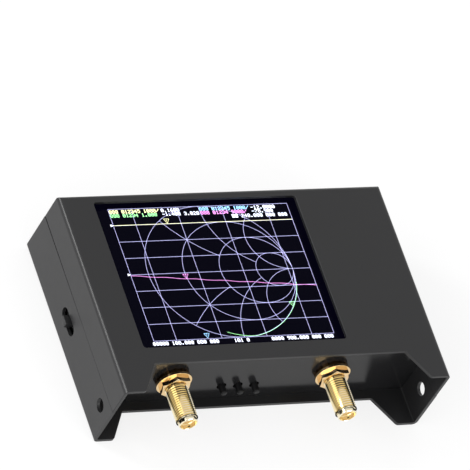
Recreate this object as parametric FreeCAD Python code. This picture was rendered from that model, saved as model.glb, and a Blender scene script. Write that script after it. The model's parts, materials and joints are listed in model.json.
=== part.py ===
import FreeCAD, Part
import math
import os

from FreeCAD import Vector

# A handheld antenna analyser in a folded sheet-steel case, in millimetres.
# X runs to the right, Y to the back, Z up.
# The origin is the middle of the case's underside.

# Case of folded sheet
case_width = 103.2
case_depth = 65.2
case_height = 25.0
sheet = 1.0
bend_radius = 1.5

# The two trays of the case meet at this height, with a gap that closes towards the front
seam_height = 14.9
seam_gap = 0.3
seam_closed_length = 27.0
lip_thickness = 0.6
lip_height = 6.0
lip_start = 17.0

# Front ears of the top and bottom plates
ear_width = 6.4
ear_slant = 5.4
ear_depth = 8.8
ear_corner = 1.2
lanyard_radius = 2.0
lanyard_from_front = 5.5
lanyard_height = 10.0

# Front panel, set back behind the ears
panel_setback = 11.6
panel_return = 4.0
panel_return_height = 12.0

# Display stack, and the window over it that covers its rim
display_width = 69.2
display_depth = 50.0
display_side_gap = 0.6
display_back_gap = 0.6
window_corner = 1.0
window_cover_left = 1.8
window_cover_right = 3.1
window_cover_front = 0.4
window_cover_back = 1.1
gasket_thickness = 0.3
gasket_margin = 0.2
glass_thickness = 0.9
lcd_thickness = 1.4
backlight_thickness = 1.1

# Circuit boards
main_board_thickness = 1.6
solder_gap = 0.1
display_board_thickness = 1.2
board_gap = 0.4

# Corner stacks that clamp the case and both boards together
stack_inset_x = 5.2
stack_inset_front = 18.0
stack_inset_back = 5.2
spacer_across_flats = 4.5
screw_radius = 1.25
screw_clearance = 0.1
screw_end_gap = 2.0
screw_head_radius = 2.2
screw_head_clearance = 0.05
screw_drive_width = 0.6
screw_drive_length = 2.4
screw_drive_depth = 0.6

# Coaxial jacks
jack_spacing = 50.5
jack_from_left = 23.5
jack_height = 12.5
jack_radius = 3.175
jack_reach = 15.4
jack_tip_length = 1.0
jack_tip_radius = 2.75
jack_tip_chamfer = 0.25
jack_groove_radius = 2.85
jack_groove_length = 0.5
jack_neck_radius = 2.8
jack_thread_gap = 0.1
jack_bore_radius = 2.3
jack_bore_depth = 1.9
jack_block = 7.0
jack_block_depth = 2.2
jack_hole_clearance = 0.1
jack_leg = 1.0
jack_leg_length = 4.5
insulator_radius = 2.05
contact_radius = 0.635
contact_hole_radius = 0.45
contact_hole_depth = 2.5
contact_tail_drop = 0.4
contact_tail_width = 0.8
contact_tail_thickness = 0.3
contact_tail_length = 3.0

# Hardware on each jack
lock_washer_thickness = 1.1
lock_washer_radius = 4.5
lock_washer_tooth = 0.5
lock_washer_teeth = 14
flat_washer_thickness = 0.8
flat_washer_radius = 5.2
nut_thickness = 1.7
nut_across_flats = 8.0
nut_chamfer = 0.5
nut_chamfer_reach = 0.9
nut_turn = 45.0
hardware_clearance = 0.05

# Push buttons and their switches
button_count = 3
button_pitch = 5.2
button_from_jack = 17.9
button_below_board = 3.4
button_radius = 1.0
button_protrusion = 2.7
button_tip_round = 0.3
button_hole_radius = 1.4
button_travel = 0.35
button_collar_radius = 1.5
button_collar_length = 1.0
button_running_clearance = 0.08
button_side_clearance = 0.3
button_rest_gap = 0.05
switch_width = 4.7
switch_below_axis = 2.0
switch_depth = 4.6
switch_nose = 1.4
dome_radius = 1.4
dome_thickness = 0.2

# Slide switch in the left wall
slot_length = 9.0
slot_width = 3.7
slot_from_front = 34.2
slide_switch_from_front = 35.4
lever_below_board = 2.05
lever_length = 3.0
lever_width = 1.8
lever_protrusion = 1.5
lever_travel = 2.0
lever_round = 0.3
carriage_length = 4.2
carriage_width = 2.6
carriage_depth = 1.0
slide_switch_length = 8.6
slide_switch_gap = 0.8
slide_switch_depth = 4.1
slide_switch_below_axis = 2.0
slide_shell_thickness = 0.3
slide_clearance = 0.1
slide_end_clearance = 0.15

# Charging and data socket in the right wall
socket_width = 8.94
socket_height = 3.26
socket_depth = 7.35
socket_wall = 0.35
socket_from_front = 34.2
socket_recess = 0.3
socket_hole_clearance = 0.3
tongue_width = 6.69
tongue_thickness = 0.7
tongue_inset = 0.8
tongue_base = 1.2

# Battery under the main board
battery_from_left = 13.6
battery_from_right = 29.6
battery_behind_panel = 9.4
battery_from_back = 7.2
battery_thickness = 4.6
battery_edge = 1.6
pad_thickness = 0.8
pad_margin = 3.0
lead_radius = 0.6
lead_pitch = 2.0
lead_sides = 8
lead_start_run = 1.0
lead_turn = 60.0
plug_length = 7.0
plug_width = 5.8
plug_height = 4.4

# Parts on the main board
shield_size = 17.0
shield_height = 3.2
shield_thickness = 0.3
shield_from_board_front = 6.5
processor_size = 10.0
processor_height = 1.2
processor_from_chips = 8.0
chip_length = 6.0
chip_width = 5.0
chip_height = 1.0
chip_pitch = 9.0
header_pins = 10
header_pin_spacing = 2.54
header_width = 2.5
header_strip_height = 2.1
header_pin = 0.64
header_pin_floor = 1.0
header_pin_clearance = 0.1
header_from_right = 8.6
header_from_back = 28.6

# Planes worked out from the sizes above
left = -case_width / 2
right = case_width / 2
front = -case_depth / 2
back = case_depth / 2
inner_left = left + sheet
inner_right = right - sheet
inner_back = back - sheet
inner_top = case_height - sheet
panel_front = front + panel_setback
panel_back = panel_front + sheet
main_board_top = jack_height - contact_tail_drop - solder_gap
main_board_underside = main_board_top - main_board_thickness
glass_top = inner_top - gasket_thickness
glass_underside = glass_top - glass_thickness
lcd_underside = glass_underside - lcd_thickness
display_board_top = lcd_underside - backlight_thickness
display_board_underside = display_board_top - display_board_thickness
board_half_width = case_width / 2 - sheet - lip_thickness - board_gap
main_board_front = panel_back + jack_block_depth
display_board_front = panel_back + board_gap
board_back = inner_back - lip_thickness - board_gap
jack_tip = panel_front - jack_reach
jack_middle_x = left + jack_from_left + jack_spacing / 2
button_height = main_board_underside - button_below_board
lever_height = main_board_underside - lever_below_board
screw_length = inner_top - screw_end_gap
display_left = left + stack_inset_x + spacer_across_flats / math.sqrt(3) + display_side_gap
display_right = display_left + display_width
display_back = inner_back - display_back_gap
display_front = display_back - display_depth
window_left = display_left + window_cover_left
window_right = display_right - window_cover_right
window_front = display_front + window_cover_front
window_back = display_back - window_cover_back
battery_left = left + battery_from_left
battery_right = right - battery_from_right
battery_front = panel_back + battery_behind_panel
battery_back = back - battery_from_back
battery_y = (battery_front + battery_back) / 2
header_x = right - header_from_right
header_y = back - header_from_back
near = 0.01
past = 1.0


def box(x0, x1, y0, y1, z0, z1):
    """A block between two corners."""
    return Part.makeBox(x1 - x0, y1 - y0, z1 - z0, Vector(x0, y0, z0))


def rounded_block(x0, x1, y0, y1, z0, z1, radius):
    """A block with its upright edges rounded."""
    block = box(x0, x1, y0, y1, z0, z1)
    upright = [edge for edge in block.Edges if abs(edge.tangentAt(edge.FirstParameter).z) > 0.99]
    return block.makeFillet(radius, upright)


def rod(radius, length, x, y, z, direction):
    """A round rod that starts at a point and runs along a direction."""
    return Part.makeCylinder(radius, length, Vector(x, y, z), direction)


def prism(points, direction):
    """A prism on a closed outline of points."""
    outline = Part.makePolygon(points + [points[0]])
    return Part.Face(outline).extrude(direction)


def polygon(sides, flat_radius, start):
    """Corners of a regular polygon, from the distance to its flats and a first angle in degrees."""
    corner = flat_radius / math.cos(math.pi / sides)
    angles = [math.radians(start + 360 * index / sides) for index in range(sides)]
    return [(corner * math.cos(angle), corner * math.sin(angle)) for angle in angles]


def turned_along_y(profile, x, z):
    """A turned piece whose profile is given as radius and Y pairs, with its axis along Y."""
    points = [Vector(x + radius, y, z) for radius, y in profile]
    outline = Part.makePolygon(points + [points[0]])
    return Part.Face(outline).revolve(Vector(x, 0, z), Vector(0, 1, 0), 360)


def slot_along_x(length, width, x0, x1, y, z):
    """A round-ended slot whose long side lies along Y, cut from x0 to x1."""
    half = (length - width) / 2
    radius = width / 2
    middle = box(x0, x1, y - half, y + half, z - radius, z + radius)
    ends = [rod(radius, x1 - x0, x0, y + side * half, z, Vector(1, 0, 0)) for side in (-1, 1)]
    return middle.fuse(ends).removeSplitter()


def together(solids):
    """One shape that holds several separate solids."""
    return Part.makeCompound(solids)


def keep(name, shape):
    """Write one node of the assembly."""
    shape.exportStep("parts/" + name + ".step")


# Case

def plate_outline():
    """A tall block on the outline of the top and bottom plates, ears included."""
    inner_ear = case_width / 2 - ear_width
    notch = inner_ear - ear_slant
    points = [(left, front), (-inner_ear, front), (-notch, front + ear_depth),
              (notch, front + ear_depth), (inner_ear, front), (right, front),
              (right, back), (left, back)]
    base = -past
    block = prism([Vector(x, y, base) for x, y in points], Vector(0, 0, case_height + 2 * past))
    tips = []
    for edge in block.Edges:
        middle = edge.CenterOfMass
        on_tip = abs(abs(middle.x) - inner_ear) < near and abs(middle.y - front) < near
        if on_tip:
            tips.append(edge)
    return block.makeFillet(ear_corner, tips)


def closed_tray(inset, radius):
    """The case as a block, drawn in by an inset, with the bends along both plates rounded."""
    block = box(left + inset, right - inset, front - past, back - inset, inset, case_height - inset)
    bent = []
    for edge in block.Edges:
        at_front = edge.CenterOfMass.y < front
        upright = abs(edge.CenterOfMass.z - case_height / 2) < near
        if not at_front and not upright:
            bent.append(edge)
    return block.makeFillet(radius, bent)


def case_inside():
    """The space inside the folded case."""
    return closed_tray(sheet, bend_radius - sheet)


def case_shell():
    """The whole folded case, before it is parted at the seam."""
    return closed_tray(0, bend_radius).cut(case_inside()).common(plate_outline())


def above_seam():
    """The space of the upper tray: its lower edge rises towards the back."""
    turn = front + seam_closed_length
    points = [(front - past, seam_height), (turn, seam_height), (back, seam_height + seam_gap),
              (back + past, seam_height + seam_gap), (back + past, case_height + past),
              (front - past, case_height + past)]
    return prism([Vector(left - past, y, z) for y, z in points], Vector(case_width + 2 * past, 0, 0))


def below_seam():
    """The space of the lower tray."""
    return box(left - past, right + past, front - past, back + past, -past, seam_height)


def seam_lip():
    """A thin lip inside the lower tray that the upper tray closes over."""
    low = seam_height - lip_height / 2
    high = seam_height + lip_height / 2
    outer = box(inner_left, inner_right, front + lip_start, inner_back, low, high)
    hollow = box(inner_left + lip_thickness, inner_right - lip_thickness,
                 front, inner_back - lip_thickness, low - past, high + past)
    return outer.common(case_inside()).cut(hollow)


def stack_places():
    """Centres of the four corner stacks."""
    reach = case_width / 2 - stack_inset_x
    return [(side * reach, y) for side in (-1, 1)
            for y in (front + stack_inset_front, back - stack_inset_back)]


def countersinks():
    """Screw holes through the bottom plate, opened out for the heads."""
    hole = screw_radius + screw_clearance
    head = screw_head_radius + screw_head_clearance
    cuts = []
    for x, y in stack_places():
        cuts.append(rod(hole, sheet + 2 * past, x, y, -past, Vector(0, 0, 1)))
        cuts.append(Part.makeCone(head, hole, head - hole, Vector(x, y, 0), Vector(0, 0, 1)))
    return cuts


def lanyard_holes():
    """One round hole through both side walls, near the front."""
    y = front + lanyard_from_front
    return rod(lanyard_radius, case_width + 2 * past, left - past, y, lanyard_height, Vector(1, 0, 0))


def top_cover():
    """Upper tray with the display window."""
    window = rounded_block(window_left, window_right, window_front, window_back,
                           inner_top - past, case_height + past, window_corner)
    return case_shell().common(above_seam()).cut(window)


def bottom_cover():
    """Lower tray with the switch slot, the socket opening and the screw holes."""
    tray = case_shell().common(below_seam()).fuse(seam_lip()).removeSplitter()
    switch_slot = slot_along_x(slot_length, slot_width, left - past, inner_left + past,
                               front + slot_from_front, lever_height)
    socket_hole = slot_along_x(socket_width + 2 * socket_hole_clearance,
                               socket_height + 2 * socket_hole_clearance,
                               inner_right - past, right + past,
                               front + socket_from_front, socket_axis_height())
    return tray.cut([switch_slot, socket_hole, lanyard_holes()] + countersinks())


def front_panel():
    """Set-back front wall, with its ends bent to the back against the side walls."""
    wall = box(inner_left, inner_right, panel_front, panel_back, sheet, inner_top)
    returns = []
    for x0, x1 in ((inner_left, inner_left + sheet), (inner_right - sheet, inner_right)):
        returns.append(box(x0, x1, panel_back, panel_back + panel_return,
                           sheet, sheet + panel_return_height))
    wall = wall.fuse(returns).common(case_inside()).removeSplitter()
    cuts = []
    for x in jack_places():
        hole = jack_radius + jack_hole_clearance
        cuts.append(rod(hole, sheet + 2 * past, x, panel_front - past, jack_height, Vector(0, 1, 0)))
    for x in button_places():
        cuts.append(rod(button_hole_radius, sheet + 2 * past, x, panel_front - past,
                        button_height, Vector(0, 1, 0)))
    return wall.cut(cuts)


# Corner stacks

def drilled_post(x, y, low, high):
    """A hexagonal spacer with a through hole for the clamping screw."""
    post = prism([Vector(x + u, y + v, low) for u, v in polygon(6, spacer_across_flats / 2, 0)],
                 Vector(0, 0, high - low))
    hole = rod(screw_radius + screw_clearance, high - low, x, y, low, Vector(0, 0, 1))
    return post.cut(hole)


def spacers(low, high):
    """Four spacers between two heights."""
    return together([drilled_post(x, y, low, high) for x, y in stack_places()])


def clamping_screw(x, y):
    """A countersunk screw with a cross recess, its head flush with the underside."""
    cone_height = screw_head_radius - screw_radius
    head = Part.makeCone(screw_head_radius, screw_radius, cone_height, Vector(x, y, 0))
    shank = rod(screw_radius, screw_length, x, y, 0, Vector(0, 0, 1))
    screw = head.fuse(shank).removeSplitter()
    half_width = screw_drive_width / 2
    half_length = screw_drive_length / 2
    bars = [box(x - half_length, x + half_length, y - half_width, y + half_width,
                -past, screw_drive_depth),
            box(x - half_width, x + half_width, y - half_length, y + half_length,
                -past, screw_drive_depth)]
    return screw.cut(bars)


# Boards and display

def board(y0, y1, low, thickness):
    """A circuit board with holes for the four corner stacks."""
    slab = box(-board_half_width, board_half_width, y0, y1, low, low + thickness)
    holes = [rod(screw_radius + screw_clearance, thickness + 2 * past, x, y, low - past,
                 Vector(0, 0, 1)) for x, y in stack_places()]
    return slab.cut(holes)


def display_layer(low, thickness):
    """One full-size layer of the display stack."""
    return box(display_left, display_right, display_front, display_back, low, low + thickness)


def screen_gasket():
    """Thin foam frame between the glass and the top plate, hidden behind the window's edge."""
    outer = display_layer(glass_top, gasket_thickness)
    hollow = box(window_left - gasket_margin, window_right + gasket_margin,
                 window_front - gasket_margin, window_back + gasket_margin,
                 glass_top - past, inner_top + past)
    return outer.cut(hollow)


# Coaxial jacks

def jack_places():
    """X of the left and the right jack."""
    return [jack_middle_x - jack_spacing / 2, jack_middle_x + jack_spacing / 2]


def washer_front():
    """Y of the front of the flat washers."""
    return panel_front - lock_washer_thickness - flat_washer_thickness


def nut_front():
    """Y of the front of the nuts, where the free thread ends."""
    return washer_front() - nut_thickness


def jack_barrel(x):
    """Turned barrel with its bored mouth, thread length, groove and plain tip."""
    thread_start = jack_tip + jack_tip_length
    groove_end = thread_start + jack_groove_length
    chamfer = jack_tip_chamfer
    shoulder = jack_tip + jack_bore_depth
    thread_end = nut_front() - jack_thread_gap
    end = main_board_front
    profile = [(jack_bore_radius, jack_tip), (jack_tip_radius - chamfer, jack_tip),
               (jack_tip_radius, jack_tip + chamfer), (jack_tip_radius, thread_start),
               (jack_groove_radius, thread_start), (jack_groove_radius, groove_end),
               (jack_radius, groove_end),
               (jack_radius, thread_end), (jack_neck_radius, thread_end),
               (jack_neck_radius, end), (insulator_radius, end),
               (insulator_radius, shoulder), (jack_bore_radius, shoulder)]
    return turned_along_y(profile, x, jack_height)


def jack_body(x):
    """Barrel, square block behind the panel and the four legs that grip the board."""
    half = jack_block / 2
    block = box(x - half, x + half, panel_back, main_board_front,
                jack_height - half, jack_height + half)
    bore = rod(insulator_radius, jack_block_depth, x, panel_back, jack_height, Vector(0, 1, 0))
    body = jack_barrel(x).fuse(block.cut(bore))
    legs = []
    for x0 in (x - half, x + half - jack_leg):
        for z0 in (main_board_underside - jack_leg, main_board_top):
            legs.append(box(x0, x0 + jack_leg, main_board_front,
                            main_board_front + jack_leg_length, z0, z0 + jack_leg))
    return body.fuse(legs).removeSplitter()


def jack_insulator(x):
    """White sleeve between the barrel and the centre contact."""
    start = jack_tip + jack_bore_depth
    length = main_board_front - start
    sleeve = rod(insulator_radius, length, x, start, jack_height, Vector(0, 1, 0))
    hole = rod(contact_radius, length, x, start, jack_height, Vector(0, 1, 0))
    return sleeve.cut(hole)


def jack_contact(x):
    """Centre contact with its socket at the mouth and its tail on the board."""
    start = jack_tip + jack_bore_depth
    hole_end = start + contact_hole_depth
    profile = [(0, hole_end), (contact_hole_radius, hole_end), (contact_hole_radius, start),
               (contact_radius, start), (contact_radius, main_board_front), (0, main_board_front)]
    low = jack_height - contact_tail_drop
    tail = box(x - contact_tail_width / 2, x + contact_tail_width / 2, main_board_front - solder_gap,
               main_board_front + contact_tail_length, low, low + contact_tail_thickness)
    return turned_along_y(profile, x, jack_height).fuse(tail)


def lock_washer(x):
    """Washer with teeth all round its rim."""
    base = panel_front - lock_washer_thickness
    bore = jack_radius + hardware_clearance
    ring = rod(lock_washer_radius, lock_washer_thickness, x, base, jack_height, Vector(0, 1, 0))
    tip = lock_washer_radius + lock_washer_tooth
    half_angle = math.pi / lock_washer_teeth / 2
    root = lock_washer_radius - lock_washer_tooth
    teeth = []
    for index in range(lock_washer_teeth):
        angle = 2 * math.pi * index / lock_washer_teeth
        corners = []
        for radius, turn in ((root, -half_angle), (tip, -half_angle / 2),
                             (tip, half_angle / 2), (root, half_angle)):
            corners.append(Vector(x + radius * math.cos(angle + turn), base,
                                  jack_height + radius * math.sin(angle + turn)))
        teeth.append(prism(corners, Vector(0, lock_washer_thickness, 0)))
    hole = rod(bore, lock_washer_thickness, x, base, jack_height, Vector(0, 1, 0))
    return ring.fuse(teeth).removeSplitter().cut(hole)


def flat_washer(x):
    """Plain round washer in front of the lock washer."""
    base = washer_front()
    bore = jack_radius + hardware_clearance
    disc = rod(flat_washer_radius, flat_washer_thickness, x, base, jack_height, Vector(0, 1, 0))
    hole = rod(bore, flat_washer_thickness, x, base, jack_height, Vector(0, 1, 0))
    return disc.cut(hole)


def hex_nut(x):
    """Thin hexagonal nut with the corners of its outer face turned off."""
    base = nut_front()
    flat = nut_across_flats / 2
    points = [Vector(x + u, base, jack_height + v) for u, v in polygon(6, flat, nut_turn)]
    block = prism(points, Vector(0, nut_thickness, 0))
    end = base + nut_thickness
    turned = turned_along_y([(0, base), (flat, base), (flat + nut_chamfer_reach, base + nut_chamfer),
                             (flat + nut_chamfer_reach, end), (0, end)], x, jack_height)
    bore = jack_neck_radius + hardware_clearance
    hole = rod(bore, nut_thickness, x, base, jack_height, Vector(0, 1, 0))
    return block.common(turned).cut(hole)


# Push buttons

def button_places():
    """X of the push buttons, from left to right."""
    first = jack_places()[0] + button_from_jack
    return [first + button_pitch * index for index in range(button_count)]


def switch_front():
    """Y of the front face of the push-button switches."""
    return panel_back + board_gap


def collar_front():
    """Y of the front of a plunger's collar at rest."""
    return switch_front() + switch_nose + button_rest_gap


def pocket_back():
    """Y of the back of the pocket that the collar moves in."""
    return collar_front() + button_collar_length + button_travel + button_rest_gap + dome_thickness


def button(x):
    """Round plunger with the collar that holds it in its switch."""
    tip = panel_front - button_protrusion
    shoulder = collar_front()
    end = shoulder + button_collar_length
    profile = [(0, tip), (button_radius - button_tip_round, tip),
               (button_radius, tip + button_tip_round), (button_radius, shoulder),
               (button_collar_radius, shoulder), (button_collar_radius, end), (0, end)]
    return turned_along_y(profile, x, button_height)


def button_switch(x):
    """Switch housing under the front edge of the main board."""
    housing = box(x - switch_width / 2, x + switch_width / 2,
                  switch_front(), switch_front() + switch_depth,
                  button_height - switch_below_axis, main_board_underside)
    nose = rod(button_radius + button_running_clearance, switch_nose + past,
               x, switch_front() - past, button_height, Vector(0, 1, 0))
    start = switch_front() + switch_nose
    half = button_collar_radius + button_side_clearance
    pocket = box(x - half, x + half, start, pocket_back(), button_height - half, button_height + half)
    return housing.cut([nose, pocket])


def button_dome(x):
    """Eight-sided snap disc at the back of a switch's pocket."""
    y = pocket_back() - dome_thickness
    corners = [Vector(x + u, y, button_height + v) for u, v in polygon(8, dome_radius, 0)]
    return prism(corners, Vector(0, dome_thickness, 0))


# Slide switch

def slide_switch_front():
    """X of the switch's face behind the left wall."""
    return inner_left + slide_switch_gap


def carriage_start():
    """X of the front of the lever's carriage."""
    return slide_switch_front() + slide_shell_thickness + slide_clearance


def rest_y():
    """Y of the lever at rest, one half of its travel in front of the switch's middle."""
    return front + slide_switch_from_front - lever_travel / 2


def power_switch_lever():
    """Lever that stands out of the slot, with the carriage that slides in the switch."""
    y = rest_y()
    tip = left - lever_protrusion
    finger = box(tip, carriage_start() + carriage_depth,
                 y - lever_length / 2, y + lever_length / 2,
                 lever_height - lever_width / 2, lever_height + lever_width / 2)
    rounded = [edge for edge in finger.Edges if abs(edge.CenterOfMass.x - tip) < near]
    finger = finger.makeFillet(lever_round, rounded)
    carriage = box(carriage_start(), carriage_start() + carriage_depth,
                   y - carriage_length / 2, y + carriage_length / 2,
                   lever_height - carriage_width / 2, lever_height + carriage_width / 2)
    return finger.fuse(carriage).removeSplitter()


def power_switch_base():
    """Moulded block with the pocket that the carriage slides in."""
    y = front + slide_switch_from_front
    x0 = slide_switch_front() + slide_shell_thickness
    x1 = slide_switch_front() + slide_switch_depth
    block = box(x0, x1, y - slide_switch_length / 2 + slide_shell_thickness,
                y + slide_switch_length / 2 - slide_shell_thickness,
                lever_height - slide_switch_below_axis, main_board_underside)
    reach = (carriage_length + lever_travel) / 2 + slide_end_clearance
    half = carriage_width / 2 + slide_clearance
    pocket = box(x0 - past, carriage_start() + carriage_depth + slide_clearance,
                 y - reach, y + reach, lever_height - half, lever_height + half)
    return block.cut(pocket)


def power_switch_shell():
    """Thin metal cap over the face and the ends of the switch, with the lever's slot."""
    y = front + slide_switch_from_front
    x0 = slide_switch_front()
    x1 = slide_switch_front() + slide_switch_depth
    half_length = slide_switch_length / 2
    low = lever_height - slide_switch_below_axis
    cap = box(x0, x1, y - half_length, y + half_length, low, main_board_underside)
    hollow = box(x0 + slide_shell_thickness, x1 + past, y - half_length + slide_shell_thickness,
                 y + half_length - slide_shell_thickness, low - past, main_board_underside + past)
    reach = (lever_length + lever_travel) / 2 + slide_end_clearance
    half = lever_width / 2 + slide_clearance
    slot = box(x0 - past, x0 + slide_shell_thickness + past, y - reach, y + reach,
               lever_height - half, lever_height + half)
    return cap.cut([hollow, slot])


# Charging and data socket

def socket_axis_height():
    """The socket hangs under the main board."""
    return main_board_underside - socket_height / 2


def socket_shell():
    """Round-ended metal shell of the socket, open to the right."""
    y = front + socket_from_front
    z = socket_axis_height()
    mouth = right - socket_recess
    outer = slot_along_x(socket_width, socket_height, mouth - socket_depth, mouth, y, z)
    hollow = slot_along_x(socket_width - 2 * socket_wall, socket_height - 2 * socket_wall,
                          mouth - socket_depth + tongue_base, mouth + past, y, z)
    return outer.cut(hollow)


def socket_tongue():
    """Flat contact tongue in the middle of the socket."""
    y = front + socket_from_front
    z = socket_axis_height()
    base = right - socket_recess - socket_depth + tongue_base
    return box(base, base + socket_depth - tongue_base - tongue_inset,
               y - tongue_width / 2, y + tongue_width / 2,
               z - tongue_thickness / 2, z + tongue_thickness / 2)


# Battery

def battery_pad():
    """Foam pad that holds the battery to the bottom plate."""
    return box(battery_left + pad_margin, battery_right - pad_margin,
               battery_front + pad_margin, battery_back - pad_margin,
               sheet, sheet + pad_thickness)


def battery():
    """Flat pouch cell with rounded long edges."""
    low = sheet + pad_thickness
    pouch = box(battery_left, battery_right, battery_front, battery_back,
                low, low + battery_thickness)
    long_edges = [edge for edge in pouch.Edges
                  if abs(edge.tangentAt(edge.FirstParameter).x) > 0.99]
    return pouch.makeFillet(battery_edge, long_edges)


def plug_middle_height():
    """Height of the leads where they enter the plug."""
    return main_board_underside - plug_height / 2


def lead_path(y):
    """A gentle S from the end of the battery up to the plug."""
    start = battery_right
    low = sheet + pad_thickness + battery_thickness / 2
    rise = plug_middle_height() - low
    turn = math.radians(lead_turn)
    radius = rise / (2 * (1 - math.cos(turn)))
    first = Vector(start + lead_start_run, y, low)
    half_turn = Vector(first.x + radius * math.sin(turn / 2), y,
                       low + radius * (1 - math.cos(turn / 2)))
    middle = Vector(first.x + radius * math.sin(turn), y, low + rise / 2)
    last = Vector(2 * middle.x - first.x, y, low + rise)
    upper_half = Vector(2 * middle.x - half_turn.x, y, 2 * middle.z - half_turn.z)
    end = Vector(last.x + lead_start_run, y, last.z)
    edges = [Part.LineSegment(Vector(start, y, low), first).toShape(),
             Part.Arc(first, half_turn, middle).toShape(),
             Part.Arc(middle, upper_half, last).toShape(),
             Part.LineSegment(last, end).toShape()]
    return Part.Wire(edges), end.x


def battery_leads():
    """Two insulated wires between the battery and its plug."""
    tubes = []
    for side in (-1, 1):
        path, end = lead_path(battery_y + side * lead_pitch / 2)
        start = path.Edges[0].Vertexes[0].Point
        corners = [start + Vector(0, u, v) for u, v in polygon(lead_sides, lead_radius, 0)]
        ring = Part.makePolygon(corners + [corners[0]])
        tubes.append(path.makePipeShell([ring], True, False))
    return together(tubes)


def battery_plug():
    """Plug and socket block under the main board."""
    path, start = lead_path(battery_y)
    return box(start, start + plug_length, battery_y - plug_width / 2, battery_y + plug_width / 2,
               main_board_underside - plug_height, main_board_underside)


# Parts on the main board

def shield_can(x):
    """Folded screening can over the circuit behind one jack."""
    y0 = main_board_front + shield_from_board_front
    half = shield_size / 2
    top = main_board_top + shield_height
    outer = box(x - half, x + half, y0, y0 + shield_size, main_board_top, top)
    wall = shield_thickness
    hollow = box(x - half + wall, x + half - wall, y0 + wall, y0 + shield_size - wall,
                 main_board_top, top - wall)
    return outer.cut(hollow)


def chips_back():
    """Y of the back of the row of small chips."""
    return main_board_front + shield_from_board_front + chip_width


def processor():
    """Main processor on the board."""
    half = processor_size / 2
    y0 = chips_back() + processor_from_chips
    return box(jack_middle_x - half, jack_middle_x + half, y0, y0 + processor_size,
               main_board_top, main_board_top + processor_height)


def synthesizer_chips():
    """A row of small chips between the screening cans."""
    y = chips_back() - chip_width / 2
    chips = []
    for side in (-1, 0, 1):
        x = jack_middle_x + side * chip_pitch
        chips.append(box(x - chip_length / 2, x + chip_length / 2,
                         y - chip_width / 2, y + chip_width / 2,
                         main_board_top, main_board_top + chip_height))
    return together(chips)


def header_pin_places():
    """Y of the pins that join the two boards."""
    first = header_y - header_pin_spacing * (header_pins - 1) / 2
    return [first + header_pin_spacing * index for index in range(header_pins)]


def header_block(low, high):
    """Moulded strip of the board connector."""
    half_width = header_width / 2
    half_length = header_pin_spacing * header_pins / 2
    return box(header_x - half_width, header_x + half_width, header_y - half_length,
               header_y + half_length, low, high)


def header_split():
    """Height where the pin strip meets the socket strip."""
    return display_board_underside - header_strip_height


def header_strip():
    """Pin strip under the display board."""
    strip = header_block(header_split(), display_board_underside)
    half = header_pin / 2
    low = main_board_top + header_pin_floor + header_pin_clearance
    pins = [box(header_x - half, header_x + half, y - half, y + half, low, header_split())
            for y in header_pin_places()]
    return strip.fuse(pins).removeSplitter()


def header_socket():
    """Socket strip on the main board."""
    half = header_pin / 2 + header_pin_clearance
    holes = [box(header_x - half, header_x + half, y - half, y + half,
                 main_board_top + header_pin_floor, header_split())
             for y in header_pin_places()]
    return header_block(main_board_top, header_split()).cut(holes)


def build():
    """Write every node of the analyser."""
    os.makedirs("parts", exist_ok=True)
    keep("top_cover", top_cover())
    keep("bottom_cover", bottom_cover())
    keep("front_panel", front_panel())
    keep("lower_spacers", spacers(sheet, main_board_underside))
    keep("middle_spacers", spacers(main_board_top, display_board_underside))
    keep("cover_posts", spacers(display_board_top, inner_top))
    keep("clamping_screws", together([clamping_screw(x, y) for x, y in stack_places()]))
    keep("main_board", board(main_board_front, board_back, main_board_underside, main_board_thickness))
    keep("display_board", board(display_board_front, board_back, display_board_underside,
                                display_board_thickness))
    keep("backlight", display_layer(display_board_top, backlight_thickness))
    keep("lcd_panel", display_layer(lcd_underside, lcd_thickness))
    keep("touch_glass", display_layer(glass_underside, glass_thickness))
    keep("screen_gasket", screen_gasket())
    for side, x in zip(("left", "right"), jack_places()):
        keep("jack_body_" + side, jack_body(x))
        keep("jack_insulator_" + side, jack_insulator(x))
        keep("jack_contact_" + side, jack_contact(x))
        keep("lock_washer_" + side, lock_washer(x))
        keep("flat_washer_" + side, flat_washer(x))
        keep("hex_nut_" + side, hex_nut(x))
        keep("shield_can_" + side, shield_can(x))
    for side, x in zip(("left", "centre", "right"), button_places()):
        keep("button_" + side, button(x))
        keep("button_switch_" + side, button_switch(x))
    keep("button_domes", together([button_dome(x) for x in button_places()]))
    keep("power_switch_lever", power_switch_lever())
    keep("power_switch_base", power_switch_base())
    keep("power_switch_shell", power_switch_shell())
    keep("socket_shell", socket_shell())
    keep("socket_tongue", socket_tongue())
    keep("battery_pad", battery_pad())
    keep("battery", battery())
    keep("battery_leads", battery_leads())
    keep("battery_plug", battery_plug())
    keep("processor", processor())
    keep("synthesizer_chips", synthesizer_chips())
    keep("header_strip", header_strip())
    keep("header_socket", header_socket())


build()
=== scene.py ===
"""Looks of the handheld antenna analyser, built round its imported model, in metres."""
import json
import math

import bmesh
import bpy
from mathutils import Matrix, Vector


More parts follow.
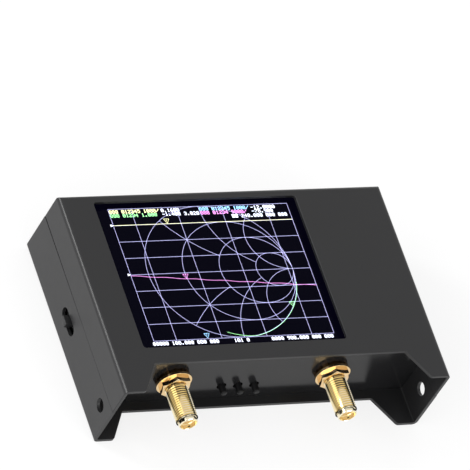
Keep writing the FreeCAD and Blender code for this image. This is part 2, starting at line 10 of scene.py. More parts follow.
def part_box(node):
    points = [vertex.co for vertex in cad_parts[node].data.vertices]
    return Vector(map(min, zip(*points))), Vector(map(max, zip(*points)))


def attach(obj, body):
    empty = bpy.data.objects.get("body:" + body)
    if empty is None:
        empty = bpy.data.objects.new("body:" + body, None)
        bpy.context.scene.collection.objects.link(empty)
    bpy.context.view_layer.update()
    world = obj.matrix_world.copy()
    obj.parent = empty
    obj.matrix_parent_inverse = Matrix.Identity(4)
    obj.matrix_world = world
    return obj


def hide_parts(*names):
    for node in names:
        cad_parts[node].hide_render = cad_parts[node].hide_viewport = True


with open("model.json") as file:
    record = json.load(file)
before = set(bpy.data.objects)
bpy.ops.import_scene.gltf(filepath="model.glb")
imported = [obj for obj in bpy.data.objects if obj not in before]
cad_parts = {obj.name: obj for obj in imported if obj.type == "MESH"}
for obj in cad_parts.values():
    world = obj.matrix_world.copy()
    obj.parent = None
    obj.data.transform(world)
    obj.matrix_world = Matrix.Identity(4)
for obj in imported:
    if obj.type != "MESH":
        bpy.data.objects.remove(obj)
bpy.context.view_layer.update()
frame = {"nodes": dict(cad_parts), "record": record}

MM = 0.001
CASE = "case"

# Camera, from the photograph's viewing angle
CAMERA_TARGET = Vector((7.54, 25.47, 12.5)) * MM
CAMERA_DISTANCE = 1.8948
CAMERA_AZIMUTH = 45.152
CAMERA_ELEVATION = 46.957
CAMERA_ROLL = 34.121
CAMERA_LENS = 514.56
CAMERA_SENSOR = 36.0
CAMERA_CLIP = 20.0

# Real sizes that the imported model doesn't give
THREAD_PITCH = 0.7056 * MM
THREAD_DEPTH = 0.42 * MM
THREAD_CREST = 0.34
THREAD_FLANK = 0.2
JACK_RADIUS = 3.175 * MM
JACK_TIP_RADIUS = 2.75 * MM
JACK_TIP_LENGTH = 1.0 * MM
JACK_GROOVE_RADIUS = 2.6 * MM
JACK_GROOVE_LENGTH = 0.5 * MM
JACK_BORE_RADIUS = 2.3 * MM
JACK_NECK_RADIUS = 2.8 * MM
JACK_THREAD_GAP = 0.1 * MM
INSULATOR_RADIUS = 2.05 * MM
JACK_CHAMFER = 0.22 * MM
JACK_LEG = 1.0 * MM
SHEET = 1.0 * MM
SEAM_HEIGHT = 14.9 * MM

# Rounding of sharp edges
COVER_ROUND = 0.3 * MM
HARDWARE_ROUND = 0.12 * MM
BUTTON_ROUND = 0.1 * MM
GLASS_ROUND = 0.1 * MM
FINE_ROUND = 0.06 * MM
BEVEL_STEPS = 2
SEAM_REACH = 0.8 * MM
SEAM_ROUND_SHARE = 0.65

# Mesh work
ROUND_STEPS = 64
SHARP_ANGLE = math.radians(28)
FLAT_ANGLE = math.radians(0.4)
SMOOTH_ANGLE = math.radians(30)
JACK_SMOOTH_ANGLE = math.radians(35)
NODE_WELD = 0.0005 * MM
JACK_WELD = 0.001 * MM

# Part of a noise texture's range that most of its values lie in
NOISE_LOW = 0.3
NOISE_HIGH = 0.7


def srgb(red, green, blue):
    """Linear colour of an sRGB colour given from 0 to 255."""
    def linear(value):
        value /= 255
        return value / 12.92 if value <= 0.04045 else ((value + 0.055) / 1.055) ** 2.4
    return (linear(red), linear(green), linear(blue), 1.0)


# Materials

LIGHT_DIP = 0.82


class Shader:
    """A node tree with a principled shader and small helpers to wire it."""

    def __init__(self, name):
        self.material = bpy.data.materials.new(name)
        self.material.use_nodes = True
        self.nodes = self.material.node_tree.nodes
        self.links = self.material.node_tree.links
        self.shader = self.nodes["Principled BSDF"]
        self.place = self.nodes.new("ShaderNodeTexCoord").outputs["Object"]

    def set(self, **values):
        """Set the shader's own sockets, named with an underscore for each space."""
        for key, value in values.items():
            self.shader.inputs[key.replace("_", " ")].default_value = value
        return self

    def noise(self, size, detail=2.0, stretch=(1, 1, 1)):
        """Noise whose grains are about size metres across."""
        mapping = self.nodes.new("ShaderNodeMapping")
        mapping.inputs["Scale"].default_value = stretch
        self.links.new(self.place, mapping.inputs["Vector"])
        texture = self.nodes.new("ShaderNodeTexNoise")
        texture.inputs["Scale"].default_value = 1 / size
        texture.inputs["Detail"].default_value = detail
        self.links.new(mapping.outputs["Vector"], texture.inputs["Vector"])
        return texture.outputs["Fac"]

    def between(self, factor, low, high):
        """A value that moves from low to high with a factor."""
        node = self.nodes.new("ShaderNodeMapRange")
        node.inputs["From Min"].default_value = NOISE_LOW
        node.inputs["From Max"].default_value = NOISE_HIGH
        node.inputs["To Min"].default_value = low
        node.inputs["To Max"].default_value = high
        self.links.new(factor, node.inputs["Value"])
        return node.outputs["Result"]

    def blend(self, factor, first, second):
        """A colour between two colours."""
        node = self.nodes.new("ShaderNodeMix")
        node.data_type = "RGBA"
        self.links.new(factor, node.inputs["Factor"])
        node.inputs["A"].default_value = first
        node.inputs["B"].default_value = second
        return node.outputs["Result"]

    def colour(self, value):
        """Wire the shader's colour."""
        self.links.new(value, self.shader.inputs["Base Color"])
        return self

    def roughness(self, value):
        """Wire the shader's roughness."""
        self.links.new(value, self.shader.inputs["Roughness"])
        return self

    def output(self, surface):
        """Wire another surface to the output in the shader's place."""
        self.links.new(surface, self.nodes["Material Output"].inputs["Surface"])

    def bump(self, *heights):
        """Relief from pairs of a factor and its height in metres."""
        normal = None
        for factor, height in heights:
            node = self.nodes.new("ShaderNodeBump")
            node.inputs["Strength"].default_value = 1.0
            node.inputs["Distance"].default_value = height
            self.links.new(factor, node.inputs["Height"])
            if normal:
                self.links.new(normal, node.inputs["Normal"])
            normal = node.outputs["Normal"]
        self.links.new(normal, self.shader.inputs["Normal"])
        return self


def paint(name, dark, light, rough_low, rough_high, relief=1.0, specular=0.38):
    """Satin black paint with a fine orange-peel skin."""
    made = Shader(name).set(Specular_IOR_Level=specular)
    broad = made.noise(14 * MM, 3)
    peel = made.noise(0.45 * MM, 2)
    grain = made.noise(0.09 * MM, 1)
    made.colour(made.blend(broad, dark, light))
    made.roughness(made.between(made.noise(3 * MM, 4), rough_low, rough_high))
    made.bump((peel, 0.0014 * relief * MM), (grain, 0.0006 * relief * MM))
    return made.material


def gold(name, base, deep, rough_low, rough_high):
    """Gold plating over turned brass, with fine turning marks."""
    made = Shader(name).set(Metallic=1.0)
    marks = made.noise(0.5 * MM, 3, (1, 14, 1))
    made.colour(made.blend(made.noise(1.6 * MM, 3), base, deep))
    made.roughness(made.between(marks, rough_low, rough_high))
    made.bump((marks, 0.0008 * MM))
    return made.material


def metal(name, base, second, rough_low, rough_high, grain=0.3):
    """Plated or tinned sheet metal."""
    made = Shader(name).set(Metallic=1.0)
    made.colour(made.blend(made.noise(2 * MM, 3), base, second))
    marks = made.noise(grain * MM, 3, (6, 1, 1))
    made.roughness(made.between(marks, rough_low, rough_high))
    made.bump((marks, 0.001 * MM))
    return made.material


def plastic(name, base, second, rough_low, rough_high, grain=0.2, specular=0.5):
    """Moulded plastic with a fine texture."""
    made = Shader(name).set(Specular_IOR_Level=specular)
    made.colour(made.blend(made.noise(2 * MM, 3), base, second))
    made.roughness(made.between(made.noise(1 * MM, 3), rough_low, rough_high))
    made.bump((made.noise(grain * MM, 2), 0.002 * MM))
    return made.material


def light_colour(name, colour, strength=1.0):
    """A lit part of the display, a little uneven in its brightness."""
    made = Shader(name).set(Roughness=0.06, Specular_IOR_Level=0.025, Base_Color=(0, 0, 0, 1),
                            Emission_Strength=strength)
    soft = made.noise(0.7 * MM, 2)
    dim = tuple(LIGHT_DIP * channel for channel in colour[:3]) + (1.0,)
    made.links.new(made.blend(soft, dim, colour), made.shader.inputs["Emission Color"])
    return made.material


def glass_sheet(name):
    """Thin clear glass that lets the picture straight through."""
    made = Shader(name)
    clear = made.nodes.new("ShaderNodeBsdfTransparent")
    tint = made.blend(made.noise(30 * MM, 2), (0.95, 0.96, 0.98, 1), (0.97, 0.98, 1, 1))
    made.links.new(tint, clear.inputs["Color"])
    made.output(clear.outputs["BSDF"])
    return made.material


def board_material(name):
    """Green-blue solder mask with a faint pattern of tracks."""
    made = Shader(name)
    tracks = made.noise(1.2 * MM, 1, (1, 5, 1))
    made.colour(made.blend(tracks, srgb(6, 62, 58), srgb(18, 92, 84)))
    made.roughness(made.between(made.noise(1 * MM, 2), 0.25, 0.4))
    made.bump((tracks, 0.01 * MM))
    return made.material


CASE_PAINT = paint("case_paint", srgb(30, 30, 31), srgb(32, 32, 33), 0.34, 0.37)
PANEL_PAINT = paint("panel_paint", srgb(26, 26, 27), srgb(29, 29, 30), 0.15, 0.2, 0.3,
                    specular=0.21)
GOLD = gold("gold_plating", srgb(255, 246, 218), srgb(251, 236, 198), 0.06, 0.13)
GOLD_HARDWARE = gold("gold_on_nuts", srgb(248, 220, 172), srgb(230, 194, 138), 0.07, 0.14)
# Darker, rougher gold for the thread roots: painted shade in the creases of the thread.
GOLD_ROOT_PAINTED_SHADE = gold("gold_with_painted_shade_in_thread_roots", srgb(232, 210, 168), srgb(200, 174, 130), 0.14, 0.22)
# Lock washers in dark bronze: partly their own dark tone, partly painted shade between the wall and
# the flat washer.
DARK_WASHER_AND_PAINTED_SHADE = gold("washer_dark_tone_and_painted_shade", srgb(140, 106, 66), srgb(70, 50, 32), 0.1, 0.2)
NICKEL = metal("nickel", srgb(205, 205, 200), srgb(180, 180, 176), 0.22, 0.36)
TIN = metal("tin", srgb(200, 204, 204), srgb(165, 170, 172), 0.25, 0.42)
BLACK_SCREW = metal("black_oxide", srgb(40, 40, 42), srgb(28, 28, 30), 0.35, 0.5)
POUCH = metal("foil_pouch", srgb(196, 200, 206), srgb(170, 176, 184), 0.3, 0.5, 0.8)
BLACK_PLASTIC = plastic("black_plastic", srgb(22, 22, 23), srgb(30, 30, 31), 0.35, 0.5)
BUTTON = plastic("button_plastic", srgb(9, 9, 10), srgb(14, 14, 15), 0.4, 0.55, 0.2, 0.2)
CHIP = plastic("chip_plastic", srgb(20, 20, 22), srgb(32, 32, 34), 0.5, 0.65, 0.1)
WHITE_PLASTIC = plastic("white_plastic", srgb(226, 224, 214), srgb(236, 234, 226), 0.35, 0.5)
INSULATOR = plastic("tan_insulator", srgb(206, 170, 116), srgb(216, 186, 134), 0.4, 0.5)
FOAM = plastic("black_foam", srgb(24, 24, 24), srgb(34, 34, 34), 0.85, 0.95, 0.3)
LEAD = plastic("red_lead", srgb(170, 24, 20), srgb(190, 34, 28), 0.35, 0.5)
LCD = light_colour("display_black", srgb(5, 4, 17), 1.0)
GLASS = glass_sheet("touch_glass_sheet")
BOARD = board_material("solder_mask")

SLOT_MATERIALS = {
    "case_paint": CASE_PAINT, "panel_paint": PANEL_PAINT, "gold": GOLD, "washer": DARK_WASHER_AND_PAINTED_SHADE,
    "nickel": NICKEL, "tin": TIN, "black_screw": BLACK_SCREW, "pouch": POUCH,
    "black_plastic": BLACK_PLASTIC, "button": BUTTON, "chip": CHIP,
    "white_plastic": WHITE_PLASTIC, "white_frame": WHITE_PLASTIC, "ptfe": INSULATOR,
    "foam": FOAM, "lead": LEAD, "lcd": LCD, "touch_glass": GLASS, "main_board": BOARD,
}
NODE_SLOT = {part["node"]: part["material_slot"] for part in frame["record"]["subparts"]}
NODE_BODY = {node: body for body, nodes in frame["record"]["behaviour"]["bodies"].items()
             for node in nodes}


def finish_nodes():
    """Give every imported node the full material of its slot."""
    for name, node in frame["nodes"].items():
        material = SLOT_MATERIALS[NODE_SLOT[name]]
        for slot in node.material_slots:
            slot.material = material


# Pieces

def add_piece(name, build, material, body, replaced=(), smooth=SMOOTH_ANGLE):
    """Put a bmesh into the scene as a piece that rides on a body."""
    mesh = bpy.data.meshes.new(name)
    bmesh.ops.recalc_face_normals(build, faces=build.faces)
    build.to_mesh(mesh)
    build.free()
    mesh.materials.append(material)
    mesh.shade_smooth()
    mesh.set_sharp_from_angle(angle=smooth)
    piece = bpy.data.objects.new(name, mesh)
    bpy.context.scene.collection.objects.link(piece)
    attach(piece, body)
    if replaced:
        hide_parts(*replaced)
    return piece


def round_edges(piece, width):
    """Round the edges that carry a bevel weight."""
    bevel = piece.modifiers.new("edges", "BEVEL")
    bevel.width = width
    bevel.segments = BEVEL_STEPS
    bevel.limit_method = "WEIGHT"
    bevel.harden_normals = True


def weigh_edges(build):
    """Give sharp edges a bevel weight, with less along the seam between the covers."""
    weights = build.edges.layers.float.new("bevel_weight_edge")
    for edge in build.edges:
        if len(edge.link_faces) != 2 or edge.calc_face_angle() < SHARP_ANGLE:
            continue
        height = (edge.verts[0].co.z + edge.verts[1].co.z) / 2
        near_seam = abs(height - SEAM_HEIGHT) < SEAM_REACH
        edge[weights] = SEAM_ROUND_SHARE if near_seam else 1.0


def softened(node_name, width, material=None):
    """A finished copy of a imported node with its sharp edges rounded."""
    build = bmesh.new()
    build.from_mesh(frame["nodes"][node_name].data)
    bmesh.ops.remove_doubles(build, verts=build.verts, dist=NODE_WELD)
    bmesh.ops.dissolve_limit(build, angle_limit=FLAT_ANGLE, verts=build.verts, edges=build.edges)
    weigh_edges(build)
    slot = NODE_SLOT[node_name]
    piece = add_piece(node_name + "_finish", build, material or SLOT_MATERIALS[slot],
                      NODE_BODY[node_name], (node_name,))
    round_edges(piece, width)


def add_box(build, low, high):
    """Add a closed block to a bmesh."""
    corners = [build.verts.new((x, y, z)) for x in (low[0], high[0])
               for y in (low[1], high[1]) for z in (low[2], high[2])]
    for ring in ((0, 1, 3, 2), (4, 6, 7, 5), (0, 4, 5, 1),
                 (2, 3, 7, 6), (0, 2, 6, 4), (1, 5, 7, 3)):
        build.faces.new([corners[index] for index in ring])


def join_columns(build, columns):
    """Skin the gaps between neighbouring columns of vertices; gives the faces of each gap."""
    gaps = []
    for here, there in zip(columns, columns[1:]):
        gaps.append([build.faces.new((here[index], here[(index + 1) % len(here)],
                                      there[(index + 1) % len(here)], there[index]))
                     for index in range(len(here))])
    return gaps


def turned_column(build, step, profile, x, z):
    """One column of vertices, from radius and Y pairs, round an axis along Y."""
    angle = 2 * math.pi * step / ROUND_STEPS
    return [build.verts.new((x + radius * math.cos(angle), y, z + radius * math.sin(angle)))
            for radius, y in profile]


def add_turned(build, profile, x, z):
    """Add a closed turned ring to a bmesh, from radius and Y pairs, round an axis along Y."""
    columns = [turned_column(build, step, profile, x, z) for step in range(ROUND_STEPS)]
    join_columns(build, columns + columns[:1])


def add_thread(build, start, end, x, z, inner):
    """Add a screw thread between two Y values as one helical skin over a closed core."""
    root = JACK_RADIUS - THREAD_DEPTH
    shape = ((0.0, JACK_RADIUS), (THREAD_CREST, JACK_RADIUS),
             (THREAD_CREST + THREAD_FLANK, root), (1 - THREAD_FLANK, root))
    root_corner = len(shape) - 1
    turns = int((end - start) / THREAD_PITCH) + 3
    columns = []
    for step in range(ROUND_STEPS + 1):
        profile = [(inner, start)]
        for turn in range(-1, turns):
            for share, radius in shape:
                y = start + (turn + share - step / ROUND_STEPS) * THREAD_PITCH
                profile.append((radius, min(max(y, start), end)))
        profile.append((inner, end))
        columns.append(turned_column(build, step, profile, x, z))
    for faces in join_columns(build, columns):
        # The root faces take the second material, the darker gold that paints shade into the thread
        # roots.
        for index, face in enumerate(faces[1:-2], start=1):
            if index % len(shape) == root_corner:
                face.material_index = 1


def add_block_with_bore(build, x, z, half, front, back):
    """Add the square block behind the wall, with the hole for the insulator."""
    columns = []
    for step in range(ROUND_STEPS):
        angle = 2 * math.pi * step / ROUND_STEPS
        reach = half / max(abs(math.cos(angle)), abs(math.sin(angle)))
        profile = ((INSULATOR_RADIUS, front), (reach, front), (reach, back),
                   (INSULATOR_RADIUS, back))
        columns.append(turned_column(build, step, profile, x, z))
    join_columns(build, columns + columns[:1])


def jack(side):
    """Gold jack: bored tip, groove, real thread, neck, square block and legs."""
    node = "jack_body_" + side
    low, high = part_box(node)
    nut_low, nut_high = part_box("hex_nut_" + side)
    board_low, board_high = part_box("main_board")
    x = (nut_low.x + nut_high.x) / 2
    z = (nut_low.z + nut_high.z) / 2
    tip = low.y
    groove = tip + JACK_TIP_LENGTH
    thread = groove + JACK_GROOVE_LENGTH
    neck = nut_low.y - JACK_THREAD_GAP
    wall_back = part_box("front_panel")[0].y + SHEET
    block = board_low.y
    chamfer = JACK_CHAMFER
    build = bmesh.new()
    add_turned(build, ((JACK_BORE_RADIUS, tip + chamfer / 2), (JACK_BORE_RADIUS + chamfer / 2, tip),
                       (JACK_TIP_RADIUS - chamfer, tip), (JACK_TIP_RADIUS, tip + chamfer),
                       (JACK_TIP_RADIUS, groove - chamfer / 2),
                       (JACK_TIP_RADIUS - chamfer / 2, groove), (JACK_GROOVE_RADIUS, groove),
                       (JACK_GROOVE_RADIUS, thread), (JACK_BORE_RADIUS, thread)), x, z)
    add_thread(build, thread, neck, x, z, INSULATOR_RADIUS)
    add_turned(build, ((INSULATOR_RADIUS, neck), (JACK_NECK_RADIUS, neck),
                       (JACK_NECK_RADIUS, block), (INSULATOR_RADIUS, block)), x, z)
    half = (high.z - low.z) / 2
    add_block_with_bore(build, x, z, half, wall_back, block)
    for leg_x in (x - half, x + half - JACK_LEG):
        for leg_z in (board_low.z - JACK_LEG, board_high.z):
            add_box(build, (leg_x, block, leg_z), (leg_x + JACK_LEG, high.y, leg_z + JACK_LEG))
    bmesh.ops.remove_doubles(build, verts=build.verts, dist=JACK_WELD)
    bmesh.ops.dissolve_degenerate(build, edges=build.edges, dist=JACK_WELD)
    piece = add_piece("jack_" + side, build, GOLD, CASE, (node,), JACK_SMOOTH_ANGLE)
    # Second material: darker gold as painted shade in the thread roots.
    piece.data.materials.append(GOLD_ROOT_PAINTED_SHADE)


# Display picture

GLASS_LOW, GLASS_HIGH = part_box("touch_glass")
PICTURE_Z = GLASS_LOW.z
LINE_HEIGHT = 0.02 * MM
LINE = 0.076 * MM
GRID_LEFT = -36.35 * MM
GRID_RIGHT = 20.75 * MM
GRID_TOP = 28.75 * MM
GRID_BOTTOM = -15.25 * MM
GRID_ROWS = 8
GRID_COLUMNS = 4
GRID_ROW = (GRID_TOP - GRID_BOTTOM) / GRID_ROWS
CHART_X = -7.85 * MM
CHART_Y = (GRID_TOP + GRID_BOTTOM) / 2
CHART_WIDTH = 22.9 * MM
CHART_HEIGHT = (GRID_TOP - GRID_BOTTOM) / 2
RESISTANCES = (0, 1 / 3, 1, 3)
REACTANCES = ((0.5, 1.0), (1.0, 3.0), (2.0, 40.0))  # each with its arc's highest resistance
CIRCLE_STEPS = 96
ARC_STEPS = 48
PICTURE_STRENGTH = 3.2

# Heights over the panel, counted in line heights, so that crossing lines stay apart
(ROW_LEVEL, COLUMN_LEVEL, CIRCLE_LEVEL, ARC_LEVEL,
 TRACE_LEVEL, ROUND_TRACE_LEVEL, MARKER_LEVEL) = range(7)
DIGIT_LEVEL = 1
GLASS_LEVEL = 8

# Traces: the falling one over its grid, the round one in shares of the chart's radius
FALL_STEPS = 40
FALL_START = CHART_Y - 0.35 * MM
FALL_DROP = -5.6 * MM
FALL_WOBBLE = 0.10 * MM
FALL_WOBBLE_RATE = 7.3
ROUND_TRACE_STEPS = 48
ROUND_TRACE_START = math.radians(-103)
ROUND_TRACE_END = math.radians(-12)
ROUND_TRACE_REACH = 0.94
ROUND_TRACE_GROWTH = 0.065
ROUND_TRACE_GROWTH_RATE = 4
MARKER_HALF = 0.85 * MM
MARKER_TALL = 1.5 * MM
POINTER_HALF = 0.38 * MM
POINTER_LENGTH = 0.8 * MM
POINTER_STEPS = 4

GRID_COLOUR = srgb(178, 176, 222)
WHITE_COLOUR = srgb(236, 238, 250)
YELLOW_COLOUR = srgb(253, 250, 185)
GREEN_COLOUR = srgb(161, 241, 161)
CYAN_COLOUR = srgb(160, 214, 252)
MAGENTA_COLOUR = srgb(239, 152, 228)


def ribbon(build, points, level, width=LINE):
    """Add a thin raised line through points of the picture."""
    low = PICTURE_Z + level * LINE_HEIGHT
    high = low + LINE_HEIGHT
    rows = []
    last = len(points) - 1
    for index, point in enumerate(points):
        before = Vector(points[max(index - 1, 0)])
        after = Vector(points[min(index + 1, last)])
        along = (after - before).normalized()
        side = Vector((-along.y, along.x)) * width / 2
        here = Vector(point)
        rows.append([build.verts.new((*(here + sign * side), z))
                     for sign, z in ((1, low), (1, high), (-1, high), (-1, low))])
    join_columns(build, rows)
    build.faces.new(rows[0])
    build.faces.new(list(reversed(rows[-1])))


def chart_point(real, imaginary):
    """Place of a reflection value on the round chart."""
    return (CHART_X + CHART_WIDTH * real, CHART_Y + CHART_HEIGHT * imaginary)


def chart_value(resistance, reactance):
    """Place of a normalised impedance on the round chart."""
    impedance = complex(resistance, reactance)
    reflection = (impedance - 1) / (impedance + 1)
    return chart_point(reflection.real, reflection.imag)


def inside_grid(points):
    """Split a line into the runs that lie inside the grid."""
    runs = [[]]
    for point in points:
        if GRID_BOTTOM <= point[1] <= GRID_TOP:
            runs[-1].append(point)
        elif runs[-1]:
            runs.append([])
    return [run for run in runs if len(run) > 1]


def chart_grid():
    """Rectangular grid and the round impedance chart over it."""
    build = bmesh.new()
    for index in range(GRID_ROWS + 1):
        y = GRID_BOTTOM + index * GRID_ROW
        ribbon(build, [(GRID_LEFT, y), (GRID_RIGHT, y)], ROW_LEVEL)
    column = (GRID_RIGHT - GRID_LEFT) / GRID_COLUMNS
    places = [GRID_LEFT, GRID_RIGHT] + [GRID_LEFT + column * (index + 0.5)
                                        for index in range(GRID_COLUMNS)]
    for x in places:
        ribbon(build, [(x, GRID_BOTTOM), (x, GRID_TOP)], COLUMN_LEVEL)
    for resistance in RESISTANCES:
        radius = 1 / (1 + resistance)
        circle = []
        for step in range(CIRCLE_STEPS + 1):
            angle = 2 * math.pi * step / CIRCLE_STEPS
            circle.append(chart_point(1 - radius + radius * math.cos(angle),
                                      radius * math.sin(angle)))
        for run in inside_grid(circle):
            ribbon(build, run, CIRCLE_LEVEL)
    for reactance, limit in REACTANCES:
        for sign in (-1, 1):
            arc = [chart_value(math.tan(math.atan(limit) * (step / ARC_STEPS)), sign * reactance)
                   for step in range(ARC_STEPS + 1)]
            for run in inside_grid(arc):
                ribbon(build, run, ARC_LEVEL)
    return build


def steady_trace():
    """Level trace along the first row of the grid."""
    build = bmesh.new()
    y = GRID_TOP - GRID_ROW
    ribbon(build, [(GRID_LEFT, y), (GRID_RIGHT, y)], TRACE_LEVEL)
    return build


def falling_trace():
    """Trace that falls a little, in small steps, from left to right."""
    build = bmesh.new()
    points = []
    for step in range(FALL_STEPS + 1):
        share = step / FALL_STEPS
        wobble = FALL_WOBBLE * math.sin(FALL_WOBBLE_RATE * step)
        points.append((GRID_LEFT + (GRID_RIGHT - GRID_LEFT) * share,
                       FALL_START + FALL_DROP * share + wobble))
    ribbon(build, points, TRACE_LEVEL)
    return build


def round_trace():
    """Trace along the lower right of the round chart."""
    build = bmesh.new()
    points = []
    for step in range(ROUND_TRACE_STEPS + 1):
        share = step / ROUND_TRACE_STEPS
        angle = ROUND_TRACE_START + (ROUND_TRACE_END - ROUND_TRACE_START) * share
        reach = ROUND_TRACE_REACH + ROUND_TRACE_GROWTH * min(1, share * ROUND_TRACE_GROWTH_RATE)
        points.append(chart_point(reach * math.cos(angle), reach * math.sin(angle)))
    for run in inside_grid(points):
        ribbon(build, run, ROUND_TRACE_LEVEL)
    return build


def marker(build, x, y):
    """Small open triangle with a short stroke in it, which points down at a trace."""
    top = y + MARKER_TALL
    corners = [(x - MARKER_HALF, top), (x + MARKER_HALF, top), (x, y)]
    for start, end in zip(corners, corners[1:] + corners[:1]):
        ribbon(build, [start, end], MARKER_LEVEL)
    ribbon(build, [(x, y + MARKER_TALL / 2), (x, top)], MARKER_LEVEL)


def pointer(build, y):
    """Small solid pointer at the left edge of the grid."""
    width = POINTER_LENGTH / POINTER_STEPS
    for step in range(POINTER_STEPS):
        reach = POINTER_HALF * (1 - step / POINTER_STEPS)
        x = GRID_LEFT - POINTER_LENGTH + step * width
        ribbon(build, [(x, y - reach), (x, y + reach)], MARKER_LEVEL, width)


GLYPHS = {
    "0": "01110 10001 10011 10101 11001 10001 01110",
    "1": "00100 01100 00100 00100 00100 00100 01110",
    "2": "01110 10001 00001 00110 01000 10000 11111",
    "3": "01110 10001 00001 00110 00001 10001 01110",
    "4": "00010 00110 01010 10010 11111 00010 00010",
    "5": "11111 10000 11110 00001 00001 10001 01110",
    "6": "00110 01000 10000 11110 10001 10001 01110",
    "7": "11111 00001 00010 00100 01000 01000 01000",
    "8": "01110 10001 10001 01110 10001 10001 01110",
    "9": "01110 10001 10001 01111 00001 00010 01100",
    ".": "00000 00000 00000 00000 00000 01100 01100",
    "-": "00000 00000 00000 11111 00000 00000 00000",
    "/": "00001 00001 00010 00100 01000 10000 10000",
    "#": "11111 11111 11111 11111 11111 11111 11111",
}
GLYPH_ROWS = 7
GLYPH_COLUMNS = 5
DOT = 0.165 * MM
GLYPH_STEP = (GLYPH_COLUMNS + 1) * DOT
TEXT_FIRST = GRID_TOP - 1.5 * MM
TEXT_SECOND = TEXT_FIRST - 1.3 * MM
TEXT_THIRD = TEXT_SECOND - 1.42 * MM
TEXT_FOOT = GRID_BOTTOM - 1.5 * MM
TEXT_LEFT = GRID_LEFT + 0.1 * MM
TEXT_INNER = GRID_LEFT + 16.5 * MM
TEXT_MIDDLE = CHART_X + 0.2 * MM
TEXT_RIGHT = CHART_X + 16.6 * MM
WHITE_TEXTS = (
    ("0.1600", TEXT_INNER, TEXT_FIRST), ("-1.400 3.020", TEXT_INNER, TEXT_SECOND),
    ("-12.0000", TEXT_RIGHT, TEXT_FIRST), ("-78.900", TEXT_RIGHT, TEXT_SECOND),
    ("## 248.000 000 000", CHART_X + 9.8 * MM, TEXT_THIRD),
    ("00000 100.000 000 000", GRID_LEFT - 0.5 * MM, TEXT_FOOT),
    ("101 0", CHART_X - 3.5 * MM, TEXT_FOOT),
    ("0000 900.000 000 000", CHART_X + 8.4 * MM, TEXT_FOOT),
)


def digits(build, text, x, y):
    """Add plain dot-matrix digits; x and y are the text's lower left corner."""
    low = PICTURE_Z + DIGIT_LEVEL * LINE_HEIGHT
    high = low + LINE_HEIGHT
    for place, character in enumerate(text):
        if character == " ":
            continue
        left = x + place * GLYPH_STEP
        for row, dots in enumerate(GLYPHS[character].split()):
            top = y + (GLYPH_ROWS - row) * DOT
            column = 0
            while column < GLYPH_COLUMNS:
                if dots[column] == "0":
                    column += 1
                    continue
                end = column
                while end < GLYPH_COLUMNS and dots[end] == "1":
                    end += 1
                add_box(build, (left + column * DOT, top - DOT, low), (left + end * DOT, top, high))
                column = end


def display_picture():
    """Everything that the display shows: chart, traces, markers and plain numbers."""
    yellow = steady_trace()
    marker(yellow, GRID_LEFT + 17.1 * MM, GRID_TOP - GRID_ROW + 0.1 * MM)
    digits(yellow, "888 012345 1000/", TEXT_LEFT, TEXT_FIRST)
    green = round_trace()
    digits(green, "888 01234 1.000", TEXT_LEFT, TEXT_SECOND)
    marker(green, CHART_X + 18.7 * MM, CHART_Y - 12.6 * MM)
    cyan = bmesh.new()
    digits(cyan, "888 012345 1000/", TEXT_MIDDLE, TEXT_FIRST)
    marker(cyan, GRID_LEFT + 17.0 * MM, GRID_BOTTOM + 0.2 * MM)
    magenta = falling_trace()
    digits(magenta, "888 01234 9000/", TEXT_MIDDLE, TEXT_SECOND)
    marker(magenta, GRID_LEFT + 17.0 * MM, CHART_Y - 2.0 * MM)
    white = bmesh.new()
    for text, x, y in WHITE_TEXTS:
        digits(white, text, x, y)
    pointer(white, GRID_TOP - GRID_ROW)
    pointer(white, CHART_Y)
    for colour_name, build, colour in (
            ("grid", chart_grid(), GRID_COLOUR), ("yellow", yellow, YELLOW_COLOUR),
            ("green", green, GREEN_COLOUR), ("cyan", cyan, CYAN_COLOUR),
            ("magenta", magenta, MAGENTA_COLOUR), ("white", white, WHITE_COLOUR)):
        name = "picture_" + colour_name
        lit = light_colour(name + "_light", colour, PICTURE_STRENGTH)
        add_piece(name, build, lit, CASE, ())


def touch_glass():
    """Clear glass over the picture, a hair thinner than its place so that both stay apart."""
    build = bmesh.new()
    under = GLASS_LOW.z + GLASS_LEVEL * LINE_HEIGHT
    add_box(build, (GLASS_LOW.x, GLASS_LOW.y, under), tuple(GLASS_HIGH))
    weigh_edges(build)
    piece = add_piece("touch_glass_sheet", build, GLASS, CASE, ("touch_glass",))
    round_edges(piece, GLASS_ROUND)


# Stage, light and camera

FLOOR_REACH = 3.0
FLOOR_DROP = 0.05 * MM
FLOOR_COLOUR = (0.93, 0.93, 0.93, 1)
FLOOR_WHITE_SHARE = 0.75
WHITE = (1, 1, 1, 1)
WORLD_STRENGTH = 0.8
LAMP_AIM = Vector((0, 0, 10)) * MM
LAMPS = (  # name, place, width, height, watts
    ("key_left", (-1.05, 0.65, 0.68), 0.35, 0.35, 7),
    ("side_left", (-1.5, -0.5, 0.7), 2.0, 1.4, 20),
    ("front_fill", (0.3, -1.2, 0.8), 0.9, 0.6, 5),
)


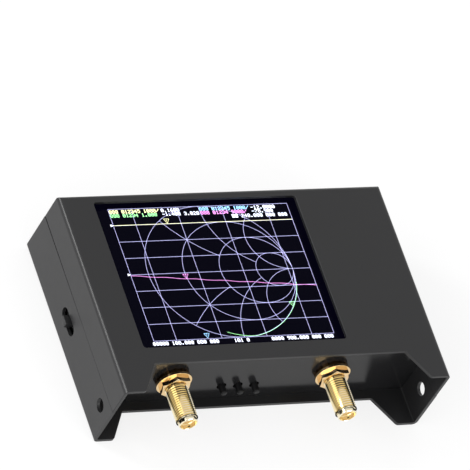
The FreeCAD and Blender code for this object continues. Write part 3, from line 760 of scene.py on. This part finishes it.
def floor_material():
    """Pale floor, nearer to white where the camera, metal or glass sees it."""
    made = Shader("floor_pale").set(Roughness=0.9, Specular_IOR_Level=0.2,
                                    Base_Color=FLOOR_COLOUR)
    path = made.nodes.new("ShaderNodeLightPath")
    seen = path.outputs["Is Camera Ray"]
    for ray in ("Is Glossy Ray", "Is Transmission Ray"):
        either = made.nodes.new("ShaderNodeMath")
        either.operation = "MAXIMUM"
        made.links.new(seen, either.inputs[0])
        made.links.new(path.outputs[ray], either.inputs[1])
        seen = either.outputs["Value"]
    share = made.nodes.new("ShaderNodeMath")
    share.operation = "MULTIPLY"
    share.inputs[1].default_value = FLOOR_WHITE_SHARE
    made.links.new(seen, share.inputs[0])
    white = made.nodes.new("ShaderNodeEmission")
    white.inputs["Color"].default_value = WHITE
    mix = made.nodes.new("ShaderNodeMixShader")
    made.links.new(share.outputs["Value"], mix.inputs["Fac"])
    made.links.new(made.shader.outputs["BSDF"], mix.inputs[1])
    made.links.new(white.outputs["Emission"], mix.inputs[2])
    made.output(mix.outputs["Shader"])
    return made.material


def stage_floor():
    """Plain pale floor, a hair under the object."""
    build = bmesh.new()
    build.faces.new([build.verts.new((x * FLOOR_REACH, y * FLOOR_REACH, 0))
                     for x, y in ((-1, -1), (1, -1), (1, 1), (-1, 1))])
    mesh = bpy.data.meshes.new("floor")
    build.to_mesh(mesh)
    build.free()
    mesh.materials.append(floor_material())
    floor = bpy.data.objects.new("floor", mesh)
    bpy.context.scene.collection.objects.link(floor)
    floor.location.z = -FLOOR_DROP


def lights():
    """Plain soft studio light, a little stronger from the left, and a plain world."""
    for name, place, width, height, power in LAMPS:
        data = bpy.data.lights.new(name, "AREA")
        data.shape = "RECTANGLE"
        data.size = width
        data.size_y = height
        data.energy = power
        light = bpy.data.objects.new(name, data)
        light.location = place
        light.rotation_euler = (LAMP_AIM - Vector(place)).to_track_quat("-Z", "Y").to_euler()
        bpy.context.scene.collection.objects.link(light)
    world = bpy.data.worlds.new("studio")
    bpy.context.scene.world = world
    world.use_nodes = True
    background = world.node_tree.nodes["Background"]
    background.inputs["Color"].default_value = WHITE
    background.inputs["Strength"].default_value = WORLD_STRENGTH


def camera():
    """Long lens, looking down at the case and rolled as in the photograph."""
    azimuth = math.radians(CAMERA_AZIMUTH)
    elevation = math.radians(CAMERA_ELEVATION)
    roll = math.radians(CAMERA_ROLL)
    forward = Vector((math.sin(azimuth) * math.cos(elevation),
                      math.cos(azimuth) * math.cos(elevation), -math.sin(elevation)))
    level = forward.cross(Vector((0, 0, 1))).normalized()
    upright = level.cross(forward)
    right = level * math.cos(roll) + upright * math.sin(roll)
    up = right.cross(forward)
    data = bpy.data.cameras.new("camera")
    data.lens = CAMERA_LENS
    data.sensor_width = CAMERA_SENSOR
    data.sensor_fit = "HORIZONTAL"
    data.clip_end = CAMERA_CLIP
    view = bpy.data.objects.new("camera", data)
    turn = Matrix((right, up, -forward)).transposed().to_4x4()
    view.matrix_world = Matrix.Translation(CAMERA_TARGET - forward * CAMERA_DISTANCE) @ turn
    bpy.context.scene.collection.objects.link(view)
    bpy.context.scene.camera = view


finish_nodes()
for cover in ("top_cover", "bottom_cover", "front_panel"):
    softened(cover, COVER_ROUND)
for jack_side in ("left", "right"):
    jack(jack_side)
    softened("hex_nut_" + jack_side, HARDWARE_ROUND, GOLD_HARDWARE)
    softened("flat_washer_" + jack_side, HARDWARE_ROUND, GOLD_HARDWARE)
    # The lock washers take their slot's dark washer material, which is partly painted shade.
    softened("lock_washer_" + jack_side, FINE_ROUND)
for button_side in ("left", "centre", "right"):
    softened("button_" + button_side, BUTTON_ROUND)
softened("power_switch_lever", HARDWARE_ROUND)
for fitting in ("power_switch_shell", "socket_shell", "clamping_screws"):
    softened(fitting, FINE_ROUND)
touch_glass()
display_picture()
stage_floor()
lights()
camera()
bpy.context.scene.view_settings.view_transform = "Standard"
